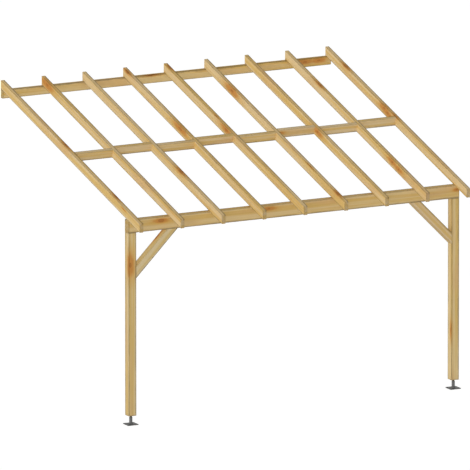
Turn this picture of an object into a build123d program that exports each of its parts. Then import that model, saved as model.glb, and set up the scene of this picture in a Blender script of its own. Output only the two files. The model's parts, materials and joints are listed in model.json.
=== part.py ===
from build123d import *
from math import atan, cos, hypot, sin
import os

# Lean-to carport, in millimetres: X runs along the wall, Y points into it, Z is up.
# The origin is the centre of the face of the wall plate that lies against the wall.

# Roof
roof_width = 4000             # over the outer rafters, the beam and the wall plate
roof_depth = 3250             # wall to the rafter tails, in plan
eaves_overhang = 250          # rafter tails beyond the front faces of the beam and posts
roof_slope_share = 0.30       # rise over run
rafter_count = 9
rafter_width = 45
rafter_depth = 95
seat_length = 45              # level seat of each bird's mouth, in plan

# Wall plate
plate_thickness = 45
plate_height = 95

# Front frame
beam_thickness = 90
beam_height = 140
post_side = 90
post_length = 2000
brace_side = 90
brace_drop = 500              # corner to the brace's lowest point, down the post
brace_reach = 500             # corner to the brace's furthest point, along the beam

# Noggings between the rafters, on alternate sides of one line
nogging_thickness = 45
nogging_line = 1640           # wall to that line, in plan, on the rafter tops

# Every timber has eased long edges
edge_ease = 2.5

# Adjustable steel feet
foot_height = 100             # ground to the end of the post
base_side = 125
base_thickness = 8
base_corner = 4
bolt_hole = 12
bolt_spacing = 85
sleeve_diameter = 35
sleeve_height = 75
sleeve_round = 4
weld_leg = 5
rod_diameter = 24
rod_in_sleeve = 55            # thread engaged below the sleeve's top
rod_in_post = 120             # depth of the rod in the post's end grain
rod_chamfer = 2
rod_clearance = 0.15

# One overrun for every cut
overrun = 20

# Worked out from the sizes above
slope_angle = atan(roof_slope_share)
uphill = Vector(0, cos(slope_angle), sin(slope_angle))
rafter_spacing = (roof_width - rafter_width) / (rafter_count - 1)
front_distance = roof_depth - eaves_overhang
plate_top = plate_height / 2


def rafter_bottom_at(y):
    """Height of the rafters' lower edge, its heel on the wall plate's front face."""
    return plate_top + roof_slope_share * (y + plate_thickness - seat_length)


def rafter_top_at(y):
    return rafter_bottom_at(y) + rafter_depth / cos(slope_angle)


beam_top = rafter_bottom_at(-front_distance + seat_length)
beam_bottom = beam_top - beam_height
post_bottom = beam_bottom - post_length
ground = post_bottom - foot_height
frame_centre = -front_distance + post_side / 2
post_offset = (roof_width - post_side) / 2


def block(x0, x1, y0, y1, z0, z1):
    """Plain block between two opposite corners."""
    return Pos((x0 + x1) / 2, (y0 + y1) / 2, (z0 + z1) / 2) * Box(x1 - x0, y1 - y0, z1 - z0)


def section(width, depth):
    """Cross-section of a planed timber with eased edges."""
    return chamfer(Rectangle(width, depth).vertices(), length=edge_ease)


def level_timber(y0, y1, z0, z1):
    """Timber that runs along the wall for the whole roof width."""
    middle = (-roof_width / 2, (y0 + y1) / 2, (z0 + z1) / 2)
    end = Plane(origin=middle, x_dir=(0, 1, 0), z_dir=(1, 0, 0))
    return extrude(end * section(y1 - y0, z1 - z0), amount=roof_width)


def rafter(x):
    """Sloping timber with plumb ends and a bird's mouth over the plate and the beam."""
    heel = Plane(origin=(x, 0, rafter_bottom_at(0)), x_dir=(-1, 0, 0), z_dir=uphill)
    reach = (roof_depth + rafter_depth) / cos(slope_angle)
    profile = heel * Pos(0, rafter_depth / 2) * section(rafter_width, rafter_depth)
    stock = extrude(profile, amount=reach, both=True)
    side = rafter_width / 2 + overrun
    plumb_cuts = block(x - side, x + side, -roof_depth, 0,
                       rafter_bottom_at(-roof_depth) - overrun, rafter_top_at(0) + overrun)
    over_plate = block(x - side, x + side, -plate_thickness, overrun, -plate_top, plate_top)
    over_beam = block(x - side, x + side, -front_distance, -front_distance + beam_thickness,
                      beam_bottom, beam_top)
    return (stock & plumb_cuts) - over_plate - over_beam


def nogging(bay):
    """Short timber set square between two rafters, flush with their tops."""
    x = -roof_width / 2 + rafter_width + bay * rafter_spacing
    line = Plane(origin=(x, -nogging_line, rafter_top_at(-nogging_line)), x_dir=uphill, z_dir=(1, 0, 0))
    along = nogging_thickness / 2 if bay % 2 else -nogging_thickness / 2
    profile = line * Pos(along, -rafter_depth / 2) * section(nogging_thickness, rafter_depth)
    return extrude(profile, amount=rafter_spacing - rafter_width)


def post():
    """Left post, bored in its lower end for the rod of its foot."""
    end = Plane(origin=(-post_offset, frame_centre, post_bottom))
    timber = extrude(end * section(post_side, post_side), amount=post_length)
    bore = extrude(end * Circle(rod_diameter / 2 + rod_clearance), amount=rod_in_post + rod_clearance)
    return timber - bore


def brace():
    """Left knee brace, mitred on to the post and under the beam."""
    corner = -roof_width / 2 + post_side
    lowest = beam_bottom - brace_drop
    along = Vector(brace_reach, 0, brace_drop).normalized()
    start = Plane(origin=(corner, frame_centre, lowest), x_dir=(0, 1, 0), z_dir=along)
    stock = extrude(start * Pos(0, brace_side / 2) * section(post_side, brace_side),
                    amount=hypot(brace_drop, brace_reach) + brace_side, both=True)
    mitres = block(corner, corner + brace_reach + overrun, -front_distance - overrun,
                   -front_distance + post_side + overrun, lowest - overrun, beam_bottom)
    return stock & mitres


def foot_base():
    """Square base plate with a bolt hole near each corner."""
    outline = RectangleRounded(base_side, base_side, base_corner)
    holes = GridLocations(bolt_spacing, bolt_spacing, 2, 2) * Circle(bolt_hole / 2)
    return extrude(outline - holes, amount=base_thickness)


def foot_sleeve():
    """Round sleeve on its weld bead, bored for the rod and rounded at its mouth."""
    outer = sleeve_diameter / 2
    inner = rod_diameter / 2 + rod_clearance
    top = base_thickness + sleeve_height
    with BuildSketch(Plane.XZ) as half:
        with BuildLine():
            Polyline((inner, base_thickness), (outer + weld_leg, base_thickness),
                     (outer, base_thickness + weld_leg), (outer, top - sleeve_round))
            RadiusArc((outer, top - sleeve_round), (outer - sleeve_round, top), -sleeve_round)
            Polyline((outer - sleeve_round, top), (inner, top), (inner, base_thickness))
        make_face()
    return revolve(half.sketch, axis=Axis.Z)


def foot_rod():
    """Threaded rod from inside the sleeve into the end of the post."""
    low = base_thickness + sleeve_height - rod_in_sleeve
    high = foot_height + rod_in_post
    bar = Pos(0, 0, low) * extrude(Circle(rod_diameter / 2), amount=high - low)
    return chamfer(bar.edges().filter_by(GeomType.CIRCLE), length=rod_chamfer)


beam_back = -front_distance + beam_thickness
nodes = {"wall_plate": level_timber(-plate_thickness, 0, -plate_top, plate_top),
         "front_beam": level_timber(-front_distance, beam_back, beam_bottom, beam_top)}

for place in range(rafter_count):
    nodes[f"rafter_{place + 1}"] = rafter(-roof_width / 2 + rafter_width / 2 + place * rafter_spacing)

for bay in range(rafter_count - 1):
    nodes[f"nogging_{bay + 1}"] = nogging(bay)

for name, timber in (("post", post()), ("brace", brace())):
    nodes[f"left_{name}"] = timber
    nodes[f"right_{name}"] = mirror(timber, about=Plane.YZ)

for side, x in (("left", -post_offset), ("right", post_offset)):
    stand = Pos(x, frame_centre, ground)
    nodes[f"{side}_foot_base"] = stand * foot_base()
    nodes[f"{side}_foot_sleeve"] = stand * foot_sleeve()
    nodes[f"{side}_foot_rod"] = stand * foot_rod()

os.makedirs("parts", exist_ok=True)
for name, solid in nodes.items():
    export_step(solid, f"parts/{name}.step")
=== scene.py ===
import bmesh
import bpy
import json
import math
from functools import reduce
from mathutils import Matrix, Vector


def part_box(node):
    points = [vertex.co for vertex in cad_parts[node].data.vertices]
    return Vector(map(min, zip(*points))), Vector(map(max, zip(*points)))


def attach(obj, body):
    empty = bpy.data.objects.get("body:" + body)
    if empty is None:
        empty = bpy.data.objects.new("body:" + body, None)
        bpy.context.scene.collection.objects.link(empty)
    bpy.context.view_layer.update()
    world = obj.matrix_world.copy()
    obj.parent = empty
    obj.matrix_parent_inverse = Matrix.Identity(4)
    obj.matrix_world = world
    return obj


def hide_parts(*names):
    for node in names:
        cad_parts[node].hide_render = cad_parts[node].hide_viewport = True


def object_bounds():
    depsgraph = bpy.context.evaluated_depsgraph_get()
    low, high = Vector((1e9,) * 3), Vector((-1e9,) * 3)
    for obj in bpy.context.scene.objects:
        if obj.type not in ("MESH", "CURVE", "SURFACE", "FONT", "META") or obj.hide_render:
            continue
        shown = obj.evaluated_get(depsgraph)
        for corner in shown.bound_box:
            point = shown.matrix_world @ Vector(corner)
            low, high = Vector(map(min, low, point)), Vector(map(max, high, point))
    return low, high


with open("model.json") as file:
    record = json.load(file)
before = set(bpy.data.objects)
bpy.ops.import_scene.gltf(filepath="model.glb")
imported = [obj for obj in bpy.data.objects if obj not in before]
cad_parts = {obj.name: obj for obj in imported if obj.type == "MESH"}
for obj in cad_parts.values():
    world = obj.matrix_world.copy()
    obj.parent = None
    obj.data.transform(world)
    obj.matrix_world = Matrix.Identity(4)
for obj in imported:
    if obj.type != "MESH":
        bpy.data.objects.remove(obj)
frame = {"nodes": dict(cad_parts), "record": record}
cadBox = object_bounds()
nodes = frame["nodes"]
print("frame:", len(nodes), "nodes")

# The roof's slope, read from the frame
roofMount = next(mount for mount in frame["record"]["mounts"] if mount["name"] == "roof_face")
roofNormal = Vector(roofMount["axis"])
uphill = Vector((0, roofNormal.z, -roofNormal.y))
alongWall = Vector((1, 0, 0))
intoWall = Vector((0, 1, 0))
upright = Vector((0, 0, 1))


class Lead:
    # A socket in a shader tree, so that shader maths can be written as sums
    def __init__(self, tree, socket=None):
        self.tree = tree
        self.socket = socket

    def node(self, kind, settings=None, inputs=None, output=0):
        made = self.tree.nodes.new(kind)
        for name, value in (settings or {}).items():
            setattr(made, name, value)
        for name, value in (inputs or {}).items():
            if isinstance(value, Lead):
                self.tree.links.new(value.socket, made.inputs[name])
            else:
                made.inputs[name].default_value = value
        return Lead(self.tree, made.outputs[output] if made.outputs else None)

    def beside(self, output):                  # another output of the same node
        return Lead(self.tree, self.socket.node.outputs[output])

    def maths(self, operation, first, second=0.0):
        return self.node("ShaderNodeMath", {"operation": operation}, {0: first, 1: second})

    def __add__(self, other):
        return self.maths("ADD", self, other)

    def __radd__(self, other):
        return self.maths("ADD", other, self)

    def __sub__(self, other):
        return self.maths("SUBTRACT", self, other)

    def __rsub__(self, other):
        return self.maths("SUBTRACT", other, self)

    def __mul__(self, other):
        return self.maths("MULTIPLY", self, other)

    def __rmul__(self, other):
        return self.maths("MULTIPLY", other, self)

    def __truediv__(self, other):
        return self.maths("DIVIDE", self, other)

    def __rtruediv__(self, other):
        return self.maths("DIVIDE", other, self)

    def __abs__(self):
        return self.maths("ABSOLUTE", self)

    def least(self, other):
        return self.maths("MINIMUM", self, other)

    def most(self, other):
        return self.maths("MAXIMUM", self, other)

    def fract(self):
        return self.maths("FRACT", self)

    def step(self, low, high):                 # 0 at low, 1 at high, smooth between
        return self.node("ShaderNodeMapRange", {"interpolation_type": "SMOOTHSTEP"},
                         {"Value": self, "From Min": low, "From Max": high})

    def between(self, low, high):              # low where self is 0, high where it is 1
        return low + self * (high - low)

    def swing(self):                           # a noise about zero
        return self - 0.5

    def vector(self, operation, other, third=(0, 0, 0), output=0):
        return self.node("ShaderNodeVectorMath", {"operation": operation},
                         {0: self, 1: other, 2: third}, output)

    def length(self):
        return self.vector("LENGTH", (0, 0, 0), output="Value")

    def tint(self, under, over, blend="MIX"):  # self is how much of the over colour shows
        return self.node("ShaderNodeMix", {"data_type": "RGBA", "blend_type": blend},
                         {0: self, 6: under, 7: over}, output=2)

    def noise(self, stretch, detail, output=0):
        return self.node("ShaderNodeTexNoise", {}, {"Vector": self.vector("MULTIPLY", stretch), "Scale": 1.0,
                                                    "Detail": detail, "Roughness": 0.55}, output)


def newMaterial(name):
    material = bpy.data.materials.new(name)
    material.use_nodes = True
    material.node_tree.nodes.clear()
    return material, Lead(material.node_tree)


def finishSurface(bench, shader):
    bench.node("ShaderNodeOutputMaterial", {}, {"Surface": shader})


# Relief is the strength of the bump and its height in metres; fixed is what is the same all over
def coatSurface(bench, colour, gloss, height, relief, fixed):
    bump = bench.node("ShaderNodeBump", {}, {"Strength": relief[0], "Distance": relief[1], "Height": height})
    sockets = {"Base Color": colour, "Roughness": gloss, "Normal": bump, **fixed}
    finishSurface(bench, bench.node("ShaderNodeBsdfPrincipled", {}, sockets))


def dress(name, material):
    nodes[name].data.materials.clear()
    nodes[name].data.materials.append(material)


# Where a timber starts, which way its grain runs, and half of its width and depth
def timberFrame(name):
    low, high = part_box(name)
    middle = (low + high) / 2
    size = high - low
    length = 0                                 # of a timber that shows its square ends
    if name.startswith("rafter"):
        along, across = -uphill, alongWall
        depth = size.z * uphill.y - size.y * uphill.z
        start = Vector((middle.x, high.y, high.z - depth / 2 / uphill.y))
        half = (size.x / 2, depth / 2)
    elif name.startswith("nogging"):
        along, across = alongWall, uphill
        spread = uphill.y ** 2 - uphill.z ** 2
        width = (size.y * uphill.y - size.z * uphill.z) / spread
        depth = (size.z * uphill.y - size.y * uphill.z) / spread
        start = Vector((low.x, middle.y, middle.z))
        half = (width / 2, depth / 2)
    elif name.endswith("post"):
        along, across = upright, alongWall
        start = Vector((middle.x, middle.y, low.z))
        half = (size.x / 2, size.y / 2)
        length = size.z
    elif name.endswith("brace"):
        outward = 1 if middle.x < 0 else -1
        along, across = Vector((outward, 0, 1)).normalized(), intoWall
        lowest = Vector((low.x if outward > 0 else high.x, middle.y, low.z))
        start = lowest + Vector((-outward, 0, 1)).normalized() * size.y / 2
        half = (size.y / 2, size.y / 2)
    else:
        along, across = alongWall, intoWall
        start = Vector((low.x, middle.y, middle.z))
        half = (size.y / 2, size.z / 2)
        length = size.x
    turn = Matrix((along, across, along.cross(across))).transposed().to_euler()
    # Which diagonal pair of arrises gets the heavier painted shade
    shadedPair = -1 if name.endswith("post") else 1
    return {"start": start, "turn": turn, "along": along, "half": half, "length": length,
            "shadedPair": shadedPair}


# Planed pine: growth rings about a pith, streaks and fibres along the grain, knots and end grain
pine = {
    "sapwood": (0.78, 0.593, 0.305, 1),
    "honey": (0.72, 0.49, 0.162, 1),
    "rose": (0.71, 0.47, 0.22, 1),
    "latewood": (0.507, 0.31, 0.102, 1),
    "halo": (0.65, 0.36, 0.085, 1),
    "stain": (0.57, 0.251, 0.063, 1),
    "heart": (0.49, 0.205, 0.055, 1),
    "heartLine": (0.39, 0.155, 0.042, 1),
    "bark": (0.27, 0.11, 0.035, 1),
    "endGrain": (0.72, 0.72, 0.76, 1),         # times the colour of the face
    # Painted shade along the arrises
    "arrisShadeColour": (0.34, 0.34, 0.38, 1),            # times the colour of the face
    "shares": {                                # how much of each colour shows at most
        "rose": 0.7, "line": 0.3, "ring": 0.28, "fibre": 0.1,
        "halo": 0.6, "stain": 0.92, "heart": 0.9, "bark": 0.5,
    },
    "patterns": {                              # waves per metre along and across the grain, and detail
        "bend": ((0.9, 2.5, 2.5), 2),
        "ragged": ((14, 60, 60), 3),
        "smear": ((7, 45, 45), 4),
        "wobble": ((3, 40, 40), 2),
        "fibre": ((9, 420, 420), 3),
        "streak": ((0.45, 30, 30), 2),
        "line": ((0.8, 85, 85), 2),
        "drift": ((1.6, 9, 9), 1),
    },
    "limits": {                                # where each mark starts and where it is full
        "streak": (0.38, 0.62), "line": (0.5, 0.72), "drift": (0.52, 0.75), "fibre": (0.72, 0.3),
        "lateRise": (0.3, 0.9), "lateFall": (1.0, 0.93), "bulge": (2.4, 0.6),
        "halo": (2.2, 0.7), "stain": (1.25, 0.5), "heart": (1.0, 0.9), "heartRing": (0.3, 0.95),
        "barkInside": (0.8, 0.95), "barkOutside": (1.1, 1.0), "cut": (0.72, 0.92), "side": (-0.5, 0.5),
    },
    "seedSteps": (5.3, 1.7, 2.9),              # metres from one timber's patterns to the next one's
    "wander": 0.03,                            # of the pith
    "flatten": 1000,                           # takes the way along the grain out of the rings
    "ringSpacing": 0.0042,
    "ringWobble": 1.2,
    "ringBulge": 0.012,                        # rings go round a knot
    "heartPart": (0.36, 1.0, 0.6),             # of the stain: along the grain, into the timber, across
    "heartRings": 4.5,
    "stainRagged": 0.7,
    "heartRagged": 0.5,
    "knotDepth": 0.04,
    "knotTaper": 0.6,                          # how deep a slim knot goes, beside its width
    "endReach": 0.013,                         # darker band by the square ends
    "endShare": 0.75,
    "smear": 2.2,                              # how uneven the painted shade along the arrises is
    "roughness": 0.85,
    "rougher": {"fibre": 0.12, "late": -0.08, "heart": -0.16},
    "higher": {"fibre": 0.4, "late": 0.6, "heart": 0.8, "bark": -0.8},
    "relief": (0.3, 0.0004),
    "sheen": 0.03,                             # specular level of dry planed wood
}

# How pale each timber is, in red, green and blue: its own tone, and on the wall plate also painted light
# that makes up for the shade it gets between the rafters
toneAndPaintedLight = {
    "wall_plate": (1.02, 1.025, 0.985),
    "front_beam": (0.975, 0.97, 0.96),
    "rafter": (1.01, 1.015, 1.08),
    "nogging": (0.98, 1.01, 1.15),
    "left_post": (0.965, 1.01, 1.12),
    "right_post": (0.965, 0.995, 1.04),
    "left_brace": (0.945, 1.015, 1.18),
    "right_brace": (0.94, 0.955, 1.11),
}

# How far painted shade reaches from the arrises and how much shows: on two arrises that get less,
# on the lower and on the upper of the other two
arrisPaintedShade = {
    "wall_plate": ((0.022, 0.85), (0.013, 0.8), (0.013, 0.8)),
    "front_beam": ((0.014, 0.45), (0.019, 0.95), (0.030, 1.0)),
    "rafter": ((0.009, 0.55), (0.014, 0.9), (0.023, 1.0)),
    "nogging": ((0.009, 0.4), (0.019, 0.9), (0.019, 0.9)),
    "left_post": ((0.014, 0.78), (0.019, 0.95), (0.019, 0.95)),
    "right_post": ((0.014, 0.78), (0.019, 0.95), (0.019, 0.95)),
    "left_brace": ((0.009, 0.3), (0.019, 0.9), (0.019, 0.9)),
    "right_brace": ((0.009, 0.3), (0.019, 0.9), (0.019, 0.9)),
}


def pineMaterial(name, seed, pith, knots):
    timber = timberFrame(name)
    kind = name.rstrip("_0123456789")
    limits, shares, rougher, higher = (pine[part] for part in ("limits", "shares", "rougher", "higher"))
    # Tone of this timber, with painted light on the wall plate
    wood = {part: [level * tone for level, tone in zip(pine[part], toneAndPaintedLight[kind])] + [1]
            for part in ("sapwood", "honey", "rose", "latewood")}
    material, bench = newMaterial(f"pine_{name}")
    place = bench.node("ShaderNodeTexCoord", output="Object")
    local = bench.node("ShaderNodeMapping", {"vector_type": "TEXTURE"},
                       {"Vector": place, "Location": timber["start"], "Rotation": timber["turn"]})
    shifted = local.vector("ADD", [seed * step for step in pine["seedSteps"]])

    def pattern(part, output=0):
        return shifted.noise(*pine["patterns"][part], output)

    # The pith wanders, so the rings run out in long arches on the faces
    bent = pattern("bend", output=1).vector("MULTIPLY_ADD", (0, pine["wander"], pine["wander"]), local)
    spread = bent.node("ShaderNodeMapping", {"vector_type": "TEXTURE"},
                       {"Vector": bent, "Location": (0, *pith), "Scale": (pine["flatten"], 1, 1)})
    radius = spread.length()

    # Knots: a ringed heart in a long red stain, square to its face; the nearest one counts
    halfWidth, halfDepth = timber["half"]
    stains, hearts = [], []
    for face, along, offset, length, width, heartSize in knots:
        middle, branch = {"near": ((along, -halfWidth, offset), 0),
                          "top": ((along, offset, halfDepth), math.pi / 2),
                          "low": ((along, offset, -halfDepth), math.pi / 2)}[face]
        depth = min(pine["knotDepth"], width * pine["knotTaper"])
        spot = local.node("ShaderNodeMapping", {"vector_type": "TEXTURE"},
                          {"Vector": local, "Location": middle, "Rotation": (branch, 0, 0),
                           "Scale": (length / 2, depth, width / 2)})
        stains.append(spot.length())
        hearts.append(spot.vector("DIVIDE", [part * heartSize for part in pine["heartPart"]]).length())
    if knots:
        ragged = pattern("ragged").swing()
        stain = reduce(Lead.least, stains) + ragged * pine["stainRagged"]
        heart = reduce(Lead.least, hearts) + ragged * pine["heartRagged"]
        radius = radius + stain.step(*limits["bulge"]) * pine["ringBulge"]

    # Growth rings: pale early wood that darkens to a thin late line
    phase = radius / pine["ringSpacing"] + pattern("wobble").swing() * pine["ringWobble"]
    turn = phase.fract()
    late = turn.step(*limits["lateRise"]) * turn.step(*limits["lateFall"])
    fibre = pattern("fibre")
    streak = pattern("streak").step(*limits["streak"])
    grainLine = pattern("line").step(*limits["line"])
    drift = pattern("drift").step(*limits["drift"])

    colour = streak.tint(wood["sapwood"], wood["honey"])
    colour = (drift * shares["rose"]).tint(colour, wood["rose"])
    colour = (grainLine * shares["line"]).tint(colour, wood["latewood"])
    colour = (late * shares["ring"]).tint(colour, wood["latewood"])
    colour = (fibre.step(*limits["fibre"]) * shares["fibre"]).tint(colour, wood["latewood"])
    gloss = pine["roughness"] + fibre * rougher["fibre"] + late * rougher["late"]
    height = fibre * higher["fibre"] + late * higher["late"]
    if knots:
        ringed = (heart * pine["heartRings"]).fract().step(*limits["heartRing"])
        inside = heart.step(*limits["heart"])
        bark = heart.step(*limits["barkInside"]) * heart.step(*limits["barkOutside"])
        colour = (stain.step(*limits["halo"]) * shares["halo"]).tint(colour, pine["halo"])
        colour = (stain.step(*limits["stain"]) * shares["stain"]).tint(colour, pine["stain"])
        colour = (inside * shares["heart"]).tint(colour, ringed.tint(pine["heart"], pine["heartLine"]))
        colour = (bark * shares["bark"]).tint(colour, pine["bark"])
        gloss = gloss + inside * rougher["heart"]
        height = height + inside * higher["heart"] + bark * higher["bark"]

    # End grain on the cuts, painted shade along the arrises, and a darker band by the square ends
    facing = bench.node("ShaderNodeNewGeometry", output="True Normal")
    cut = abs(facing.vector("DOT_PRODUCT", timber["along"], output="Value")).step(*limits["cut"])
    colour = cut.tint(colour, pine["endGrain"], "MULTIPLY")
    wide = bench.node("ShaderNodeSeparateXYZ", {}, {"Vector": local}, "Y")
    deep = wide.beside("Z")
    inwards = (halfWidth - abs(wide)).most(halfDepth - abs(deep))
    # Painted shade along the arrises, heavier on one diagonal pair
    shadedSide = (wide * deep * (timber["shadedPair"] / (halfWidth * halfDepth))).step(*limits["side"])
    upper = (deep / halfDepth).step(*limits["side"])
    reach, share = (shadedSide.between(unshaded, upper.between(lowShade, topShade))
                    for unshaded, lowShade, topShade in zip(*arrisPaintedShade[kind]))
    smear = pattern("smear").swing() * pine["smear"]
    edge = inwards.step(reach * (1 + smear), 0.0) * share
    # A darker band by the square ends, not on the end grain itself
    if timber["length"]:
        fromStart = wide.beside("X")
        fromEnd = fromStart.least(timber["length"] - fromStart)
        edge = edge.most(fromEnd.step(pine["endReach"], 0.0) * (1 - cut) * pine["endShare"])
    colour = edge.tint(colour, pine["arrisShadeColour"], "MULTIPLY")
    coatSurface(bench, colour, gloss, height, pine["relief"], {"Specular IOR Level": pine["sheen"]})
    return material


# Each timber's knots: the face, metres along the grain and off its middle, length and width, and the size
# of the heart
timberKnots = {
    "wall_plate": [("near", 1.80, 0.042, 0.22, 0.03, 1), ("near", 3.68, 0.010, 0.28, 0.06, 0.5),
                   ("near", 3.85, 0.012, 0.20, 0.06, 0.5)],
    "front_beam": [("near", 0.39, 0.032, 0.20, 0.055, 1), ("near", 1.69, 0.036, 0.20, 0.045, 0.4),
                   ("near", 3.97, 0.022, 0.10, 0.04, 0.6)],
    "rafter_1": [("top", 1.54, 0.006, 0.24, 0.05, 1), ("top", 2.76, 0.010, 0.24, 0.046, 1),
                 ("near", 3.00, 0.025, 0.12, 0.018, 0.6)],
    "rafter_2": [("near", 0.13, 0.012, 0.32, 0.09, 0.5)],
    "rafter_3": [("top", 2.36, -0.003, 0.24, 0.05, 1)],
    "rafter_4": [("top", 0.08, -0.018, 0.18, 0.042, 1), ("near", 1.39, 0.018, 0.36, 0.072, 0.6)],
    "rafter_5": [("top", 0.09, 0.003, 0.17, 0.042, 1), ("top", 1.25, -0.010, 0.16, 0.018, 0.8),
                 ("near", 1.52, 0.018, 0.28, 0.068, 0.7)],
    "rafter_6": [("near", 0.67, 0.010, 0.36, 0.09, 0.5), ("top", 2.54, -0.014, 0.20, 0.018, 0.8),
                 ("top", 3.19, -0.006, 0.20, 0.044, 1)],
    "rafter_7": [("near", 1.76, 0.012, 0.26, 0.07, 0.5)],
    "rafter_8": [("top", 0.80, -0.009, 0.22, 0.036, 1), ("near", 2.58, 0.015, 0.24, 0.066, 0.5),
                 ("near", 2.74, 0.005, 0.22, 0.062, 0.5)],
    "rafter_9": [("top", 0.46, -0.010, 0.22, 0.04, 1), ("near", 1.42, 0.020, 0.26, 0.08, 0.5),
                 ("near", 1.50, 0.005, 0.24, 0.07, 0.5), ("top", 1.66, -0.012, 0.20, 0.03, 1)],
    "nogging_6": [("near", 0.02, 0.010, 0.14, 0.035, 0.7)],
    "left_post": [("low", 1.65, -0.028, 0.29, 0.10, 0.5)],
    "right_post": [("near", 0.55, -0.026, 0.24, 0.034, 0.6)],
    "left_brace": [("top", 0.50, 0.034, 0.18, 0.055, 1)],
}
timberNames = [name for name in sorted(nodes) if "foot" not in name]
pithPlaces = ((0.02, -0.09), (-0.05, -0.07), (0.07, 0.05), (0.01, 0.085), (-0.03, 0.1))
for place, name in enumerate(timberNames):
    pith = pithPlaces[place % len(pithPlaces)]
    dress(name, pineMaterial(name, place + 1, pith, timberKnots.get(name, [])))
print("timber:", len(timberNames), "pieces of pine")


# Dark grey coating on the steel of the feet
coating = {
    "colour": (0.155, 0.155, 0.155, 1),
    "worn": (0.22, 0.22, 0.215, 1),
    "wornShare": 0.35,
    "wornLimits": (0.62, 0.72),
    "scuffs": ((400, 400, 60), 3),             # waves per metre, and detail
    "clouds": ((60, 60, 60), 3),
    "peel": ((900, 900, 900), 2),
    # Darker towards the ground, in clouds
    "groundDark": (0.05, 0.048, 0.044, 1),
    "groundDarkHeight": 0.016,
    "groundDarkShares": (0.64, 1.04),               # where the clouds are thin and where they are thick
    "roughness": 0.52,
    "uneven": 0.2,                             # how much the clouds change the roughness
    "relief": (0.25, 0.0003),
    "sheen": 0.1,                              # specular level of the matt coating
}


def coatedSteel():
    material, bench = newMaterial("coated_steel")
    place = bench.node("ShaderNodeTexCoord", output="Object")
    cloud = place.noise(*coating["clouds"])
    scuff = place.noise(*coating["scuffs"]).step(*coating["wornLimits"])
    aboveGround = bench.node("ShaderNodeSeparateXYZ", {}, {"Vector": place}, "Z") - cadBox[0].z
    # Darker towards the ground, more where the clouds are thick
    groundDark = aboveGround.step(coating["groundDarkHeight"], 0.0) * cloud.between(*coating["groundDarkShares"])
    colour = (scuff * coating["wornShare"]).tint(coating["colour"], coating["worn"])
    colour = groundDark.tint(colour, coating["groundDark"])
    gloss = coating["roughness"] + cloud.swing() * coating["uneven"]
    peel = place.noise(*coating["peel"])
    coatSurface(bench, colour, gloss, peel, coating["relief"], {"Specular IOR Level": coating["sheen"]})
    return material


# Dark oiled steel of the threaded rods
oiled = {
    "colour": (0.05, 0.038, 0.02, 1),
    "second": (0.13, 0.11, 0.075, 1),
    "secondLimits": (0.5, 0.75),
    "clouds": ((220, 220, 220), 3),
    "roughness": 0.425,
    "uneven": 0.25,
    "relief": (0.2, 0.0002),
    "metal": 0.4,
}

# Yellow passivated zinc on the screws
zinc = {
    "colour": (0.66, 0.50, 0.22, 1),
    "second": (0.50, 0.42, 0.26, 1),
    "secondLimits": (0.35, 0.7),
    "clouds": ((300, 300, 300), 3),
    "roughness": 0.5,
    "uneven": 0.2,
    "relief": (0.15, 0.0001),
    "metal": 0.55,
}


def cloudedSteel(name, finish):
    material, bench = newMaterial(name)
    cloud = bench.node("ShaderNodeTexCoord", output="Object").noise(*finish["clouds"])
    colour = cloud.step(*finish["secondLimits"]).tint(finish["colour"], finish["second"])
    gloss = finish["roughness"] + cloud.swing() * finish["uneven"]
    coatSurface(bench, colour, gloss, cloud, finish["relief"], {"Metallic": finish["metal"]})
    return material


steelCoat = coatedSteel()
steelOil = cloudedSteel("oiled_steel", oiled)
zincScrews = cloudedSteel("zinc_plating", zinc)


def newObject(name, mesh, material):
    data = bpy.data.meshes.new(name)
    mesh.to_mesh(data)
    mesh.free()
    data.materials.append(material)
    made = bpy.data.objects.new(name, data)
    bpy.context.scene.collection.objects.link(made)
    return made


def addPiece(name, mesh, material):
    piece = newObject(name, mesh, material)
    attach(piece, "root")
    return piece


def smoothFaces(piece, sharpFrom):
    for polygon in piece.data.polygons:
        polygon.use_smooth = True
    piece.data.set_sharp_from_angle(angle=math.radians(sharpFrom))


# Threaded rod of a foot
thread = {
    "pitch": 0.003,
    "depth": 0.0018,
    "crestShare": 0.16,                        # of the pitch
    "steps": 24,                               # a turn
    "chamfer": 0.002,
    "tolerance": 0.00003,                      # for points that meet
}


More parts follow.
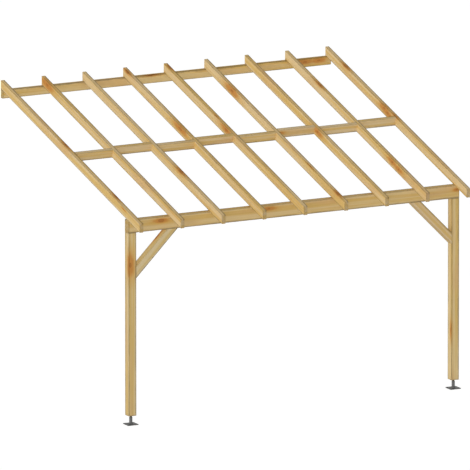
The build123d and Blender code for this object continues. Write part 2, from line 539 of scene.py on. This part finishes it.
def threadedRod(side):
    low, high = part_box(f"{side}_foot_rod")
    axis = (low + high) / 2
    crest = (high.x - low.x) / 2
    root = crest - thread["depth"]
    pitch, tolerance = thread["pitch"], thread["tolerance"]
    turns = math.ceil((high.z - low.z) / pitch) + 2    # a spare turn at each end is cut off
    mesh = bmesh.new()
    heights = (0, 0.5 - thread["crestShare"] / 2, 0.5 + thread["crestShare"] / 2, 1)
    ridge = [mesh.verts.new((axis.x + reach, axis.y, low.z + (share - 1.5) * pitch))
             for reach, share in zip((root, crest, crest, root), heights)]
    edges = [mesh.edges.new(pair) for pair in zip(ridge, ridge[1:])]
    bmesh.ops.spin(mesh, geom=ridge + edges, cent=axis, axis=upright, angle=math.tau * turns,
                   steps=turns * thread["steps"], dvec=upright * pitch / thread["steps"])
    bmesh.ops.remove_doubles(mesh, verts=mesh.verts, dist=tolerance)
    for level, outward in ((low.z, -upright), (high.z, upright)):
        bmesh.ops.bisect_plane(mesh, geom=mesh.verts[:] + mesh.edges[:] + mesh.faces[:], dist=tolerance / 10,
                               plane_co=(axis.x, axis.y, level), plane_no=outward, clear_outer=True)
        rim = [edge for edge in mesh.edges if edge.is_boundary
               and all(abs(vert.co.z - level) < tolerance for vert in edge.verts)]
        bmesh.ops.holes_fill(mesh, edges=rim, sides=0)
    for vert in mesh.verts:
        beyond = max(vert.co.z - (high.z - thread["chamfer"]), low.z + thread["chamfer"] - vert.co.z, 0)
        reach = math.hypot(vert.co.x - axis.x, vert.co.y - axis.y)
        shrink = min(1, (crest - beyond) / max(reach, root))
        vert.co.x = axis.x + (vert.co.x - axis.x) * shrink
        vert.co.y = axis.y + (vert.co.y - axis.y) * shrink
    bmesh.ops.recalc_face_normals(mesh, faces=mesh.faces)
    piece = addPiece(f"{side}_foot_thread", mesh, steelOil)
    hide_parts(f"{side}_foot_rod")


def sleeveRadius(side):
    low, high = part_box(f"{side}_foot_sleeve")
    axis = (low + high) / 2
    upperHalf = [vert.co for vert in nodes[f"{side}_foot_sleeve"].data.vertices if vert.co.z > axis.z]
    return max(math.hypot(place.x - axis.x, place.y - axis.y) for place in upperHalf)


# Rippled weld where the sleeve meets the base plate
weld = {
    "leg": 0.006,
    "hollow": 0.22,                            # how much the bead's face falls in
    "sink": 0.0008,                            # into the sleeve and the plate
    "arcSteps": 6,
    "steps": 180,
    "ripples": 45,
    "rippleShare": 0.07,
    "rippleLean": 0.6,
    "sharpFrom": 50,                           # degrees
}


def weldBead(side):
    low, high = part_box(f"{side}_foot_sleeve")
    axis = (low + high) / 2
    innerRadius = sleeveRadius(side) - weld["sink"]
    bottom = low.z - weld["sink"]
    mesh = bmesh.new()
    arc = []
    for step in range(weld["arcSteps"] + 1):
        angle = math.pi / 2 * step / weld["arcSteps"]
        bulge = weld["leg"] * (1 - weld["hollow"] * math.sin(2 * angle))
        arc.append(mesh.verts.new((axis.x + innerRadius + bulge * math.cos(angle), axis.y,
                                   bottom + bulge * math.sin(angle))))
    arc.append(mesh.verts.new((axis.x + innerRadius, axis.y, bottom)))
    edges = [mesh.edges.new(pair) for pair in zip(arc, arc[1:] + arc[:1])]
    bmesh.ops.spin(mesh, geom=arc + edges, cent=axis, axis=upright, angle=math.tau,
                   steps=weld["steps"], use_merge=True)
    for vert in mesh.verts:
        flat = Vector((vert.co.x - axis.x, vert.co.y - axis.y, 0))
        corner = axis + flat.normalized() * innerRadius
        corner.z = bottom
        lean = (vert.co.z - low.z) / weld["leg"] * weld["rippleLean"]
        ripple = abs(math.sin(math.atan2(flat.y, flat.x) * weld["ripples"] / 2 + lean))
        vert.co = corner + (vert.co - corner) * (1 + weld["rippleShare"] * (2 * ripple - 1))
    bmesh.ops.recalc_face_normals(mesh, faces=mesh.faces)
    smoothFaces(addPiece(f"{side}_foot_weld", mesh, steelCoat), weld["sharpFrom"])


for side in ("left", "right"):
    dress(f"{side}_foot_base", steelCoat)
    dress(f"{side}_foot_sleeve", steelCoat)
    dress(f"{side}_foot_rod", steelOil)
    threadedRod(side)
    weldBead(side)
print("feet: coated bases and sleeves, welds and threaded rods")


# Wafer heads of the timber screws, with a six-lobed socket
screw = {
    "radius": 0.007,
    "height": 0.0025,
    "rim": 0.0008,
    "sink": 0.0004,                            # below the timber's face
    "dome": ((0.88, 0.65), (0.62, 0.93)),      # shares of the radius and of the height
    "socket": 0.0026,
    "socketLip": 1.25,                         # times the socket's radius, where the crown is highest
    "socketMouth": 0.97,                       # of the height
    "socketTaper": 0.92,
    "socketFloor": 0.0006,
    "lobes": 6,
    "lobeShare": 0.13,
    "lobeReach": 1.1,                          # times the socket's radius
    "steps": 24,
    "sharpFrom": 35,                           # degrees
    "tolerance": 0.000007,                     # for points that meet
    "turn": 1.3,                              # radians from one head's socket to the next one's
    "apart": 0.044,                            # from one screw of a pair to the other
    "fromTip": 0.05,                           # along a brace from its pointed ends
}


def onlyVerts(parts):
    return [part for part in parts if isinstance(part, bmesh.types.BMVert)]


def addScrews(name, places):
    radius, height, socket = screw["radius"], screw["height"], screw["socket"]
    profile = [(0, -screw["sink"]), (radius, -screw["sink"]), (radius, screw["rim"])]
    profile += [(radius * across, height * up) for across, up in screw["dome"]]
    profile += [(socket * screw["socketLip"], height), (socket, height * screw["socketMouth"]),
                (socket * screw["socketTaper"], screw["socketFloor"]), (0, screw["socketFloor"])]
    mesh = bmesh.new()
    outline = [mesh.verts.new((reach, 0, level)) for reach, level in profile]
    edges = [mesh.edges.new(pair) for pair in zip(outline, outline[1:])]
    bmesh.ops.spin(mesh, geom=outline + edges, cent=(0, 0, 0), axis=upright, angle=math.tau,
                   steps=screw["steps"], use_merge=True)
    bmesh.ops.remove_doubles(mesh, verts=mesh.verts, dist=screw["tolerance"])
    for vert in mesh.verts:
        if vert.co.xy.length < socket * screw["lobeReach"] and vert.co.z > 0:
            wave = math.cos(screw["lobes"] * math.atan2(vert.co.y, vert.co.x))
            vert.co.xy *= 1 + screw["lobeShare"] * wave
    bmesh.ops.recalc_face_normals(mesh, faces=mesh.faces)
    master = mesh.verts[:] + mesh.edges[:] + mesh.faces[:]
    for count, (spot, outward) in enumerate(places):
        made = bmesh.ops.duplicate(mesh, geom=master)["geom"]
        stand = Matrix.Translation(spot) @ outward.to_track_quat("Z", "Y").to_matrix().to_4x4()
        bmesh.ops.transform(mesh, matrix=stand @ Matrix.Rotation(count * screw["turn"], 4, "Z"),
                            verts=onlyVerts(made))
    bmesh.ops.delete(mesh, geom=onlyVerts(master), context="VERTS")
    smoothFaces(addPiece(name, mesh, zincScrews), screw["sharpFrom"])
    return len(places)


plateMiddle = sum(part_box("wall_plate"), Vector()) / 2
beamLow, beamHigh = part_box("front_beam")
beamMiddle = (beamLow + beamHigh) / 2
pairOffsets = (-screw["apart"] / 2, screw["apart"] / 2)

# One down through each rafter into the wall plate, one into the beam
rafterSpots = []
for name in timberNames:
    if name.startswith("rafter"):
        low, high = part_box(name)
        for y in (plateMiddle.y, beamMiddle.y):
            top = high.z + (y - high.y) * uphill.z / uphill.y
            rafterSpots.append((Vector(((low.x + high.x) / 2, y, top)), roofNormal))

# Two through a rafter's side into each end of a nogging
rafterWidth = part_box("rafter_1")[1].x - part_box("rafter_1")[0].x
noggingSpots = []
for name in timberNames:
    if name.startswith("nogging"):
        low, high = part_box(name)
        middle = (low + high) / 2
        for side, x in ((-1, low.x - rafterWidth), (1, high.x + rafterWidth)):
            for offset in pairOffsets:
                spot = Vector((x, middle.y, middle.z)) + roofNormal * offset
                noggingSpots.append((spot, alongWall * side))

# Two up through each end of a brace, and two down through the beam into each post
braceSpots, beamSpots = [], []
for side, inward in (("left", 1), ("right", -1)):
    low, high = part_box(f"{side}_brace")
    along = Vector((inward, 0, 1)).normalized()
    under = Vector((inward, 0, -1)).normalized()
    lowest = Vector((low.x if inward > 0 else high.x, (low.y + high.y) / 2, low.z))
    length = (high.z - low.z) / along.z
    for reach in (screw["fromTip"], length - screw["fromTip"]):
        for offset in pairOffsets:
            braceSpots.append((lowest + along * reach + intoWall * offset, under))
    low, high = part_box(f"{side}_post")
    x = (low.x + high.x) / 2 + inward * (high.x - low.x) / 4    # clear of the outer rafter
    for offset in pairOffsets:
        beamSpots.append((Vector((x, beamMiddle.y + offset, beamHigh.z)), upright))

screwCount = addScrews("rafter_screws", rafterSpots) + addScrews("nogging_screws", noggingSpots)
screwCount += addScrews("brace_screws", braceSpots) + addScrews("beam_screws", beamSpots)
print("screws:", screwCount, "heads")


# White floor that keeps a faint shadow, under a white sky that lights softly
studio = {
    "floorReach": 60.0,
    "floorBounce": (0.8, 0.8, 0.8, 1),
    "shadowShare": 0.25,
    "floorLevel": 0.5,                         # light on the floor that still looks white
    "skyAtHorizon": (0.80, 0.80, 0.80, 1),
    "skyOverhead": (0.10, 0.11, 0.12, 1),
    "white": (1, 1, 1, 1),
}


def seenDirectly(bench):
    paths = bench.node("ShaderNodeLightPath", output="Is Camera Ray")
    return paths.most(paths.beside("Is Glossy Ray")).most(paths.beside("Is Transmission Ray"))


def whiteFloor():
    material, bench = newMaterial("white_floor")
    shade = studio["shadowShare"]
    bounce = bench.node("ShaderNodeBsdfDiffuse", {}, {"Color": studio["floorBounce"]})
    shadow = bench.node("ShaderNodeBsdfDiffuse", {}, {"Color": (shade, shade, shade, 1)})
    white = bench.node("ShaderNodeEmission", {}, {"Strength": 1 - shade * studio["floorLevel"]})
    shown = bench.node("ShaderNodeAddShader", {}, {0: shadow, 1: white})
    surface = bench.node("ShaderNodeMixShader", {}, {0: seenDirectly(bench), 1: bounce, 2: shown})
    finishSurface(bench, surface)
    return material


floorMesh = bmesh.new()
bmesh.ops.create_grid(floorMesh, x_segments=1, y_segments=1, size=studio["floorReach"],
                      matrix=Matrix.Translation((0, 0, cadBox[0].z)))
newObject("floor", floorMesh, whiteFloor())

world = bpy.data.worlds.new("studio")
bpy.context.scene.world = world
world.use_nodes = True
world.node_tree.nodes.clear()
sky = Lead(world.node_tree)
outlook = sky.node("ShaderNodeTexCoord", output="Generated")
lookingUp = sky.node("ShaderNodeSeparateXYZ", {}, {"Vector": outlook}, "Z").most(0.0)
fading = lookingUp.tint(studio["skyAtHorizon"], studio["skyOverhead"])
soft = sky.node("ShaderNodeBackground", {}, {"Color": fading})
white = sky.node("ShaderNodeBackground", {}, {"Color": studio["white"], "Strength": 1.0})
shown = sky.node("ShaderNodeMixShader", {}, {0: seenDirectly(sky), 1: soft, 2: white})
sky.node("ShaderNodeOutputWorld", {}, {"Surface": shown})

# A large key low on the left, a wash beside it that casts no shadow, and a weak lamp behind on the right
lamps = {
    "key": {"towards": (-0.825, -0.56, 0.08), "strength": 0.9, "angle": 60, "colour": (1.0, 0.985, 0.95),
            "shadow": True},
    "wash": {"towards": (-0.825, -0.56, 0.25), "strength": 1.2, "angle": 10, "colour": (1.0, 0.985, 0.95),
             "shadow": False},
    "back": {"towards": (0.6, 0.55, 0.5), "strength": 0.6, "angle": 90, "colour": (1.0, 1.0, 1.0),
             "shadow": True},
}
for name, lamp in lamps.items():
    light = bpy.data.lights.new(name, "SUN")
    light.energy = lamp["strength"]
    light.angle = math.radians(lamp["angle"])
    light.color = lamp["colour"]
    light.use_shadow = lamp["shadow"]
    holder = bpy.data.objects.new(name, light)
    holder.rotation_mode = "QUATERNION"
    holder.rotation_quaternion = Vector(lamp["towards"]).to_track_quat("Z", "Y")
    bpy.context.scene.collection.objects.link(holder)

# A very long lens far away gives the picture's parallel lines
shot = {
    "target": (0.0111, -1.6, -1.4553),
    "azimuth": -27.611,
    "elevation": 11.906,
    "frameWidth": 5.0620,
    "lens": 1700.0,
    "sensor": 36.0,
    "clip": 4,                                 # times the camera's distance
}
turn = math.radians(shot["azimuth"])
rise = math.radians(shot["elevation"])
towards = Vector((math.sin(turn) * math.cos(rise), -math.cos(turn) * math.cos(rise), math.sin(rise)))
away = shot["frameWidth"] * shot["lens"] / shot["sensor"]
cameraData = bpy.data.cameras.new("camera")
cameraData.lens = shot["lens"]
cameraData.sensor_width = shot["sensor"]
cameraData.clip_end = away * shot["clip"]
camera = bpy.data.objects.new("camera", cameraData)
camera.rotation_mode = "QUATERNION"
camera.location = Vector(shot["target"]) + towards * away
camera.rotation_quaternion = (-towards).to_track_quat("-Z", "Y")
bpy.context.scene.collection.objects.link(camera)
bpy.context.scene.camera = camera
bpy.context.scene.view_settings.view_transform = "Standard"
print("studio: floor, sky, lamps and camera")
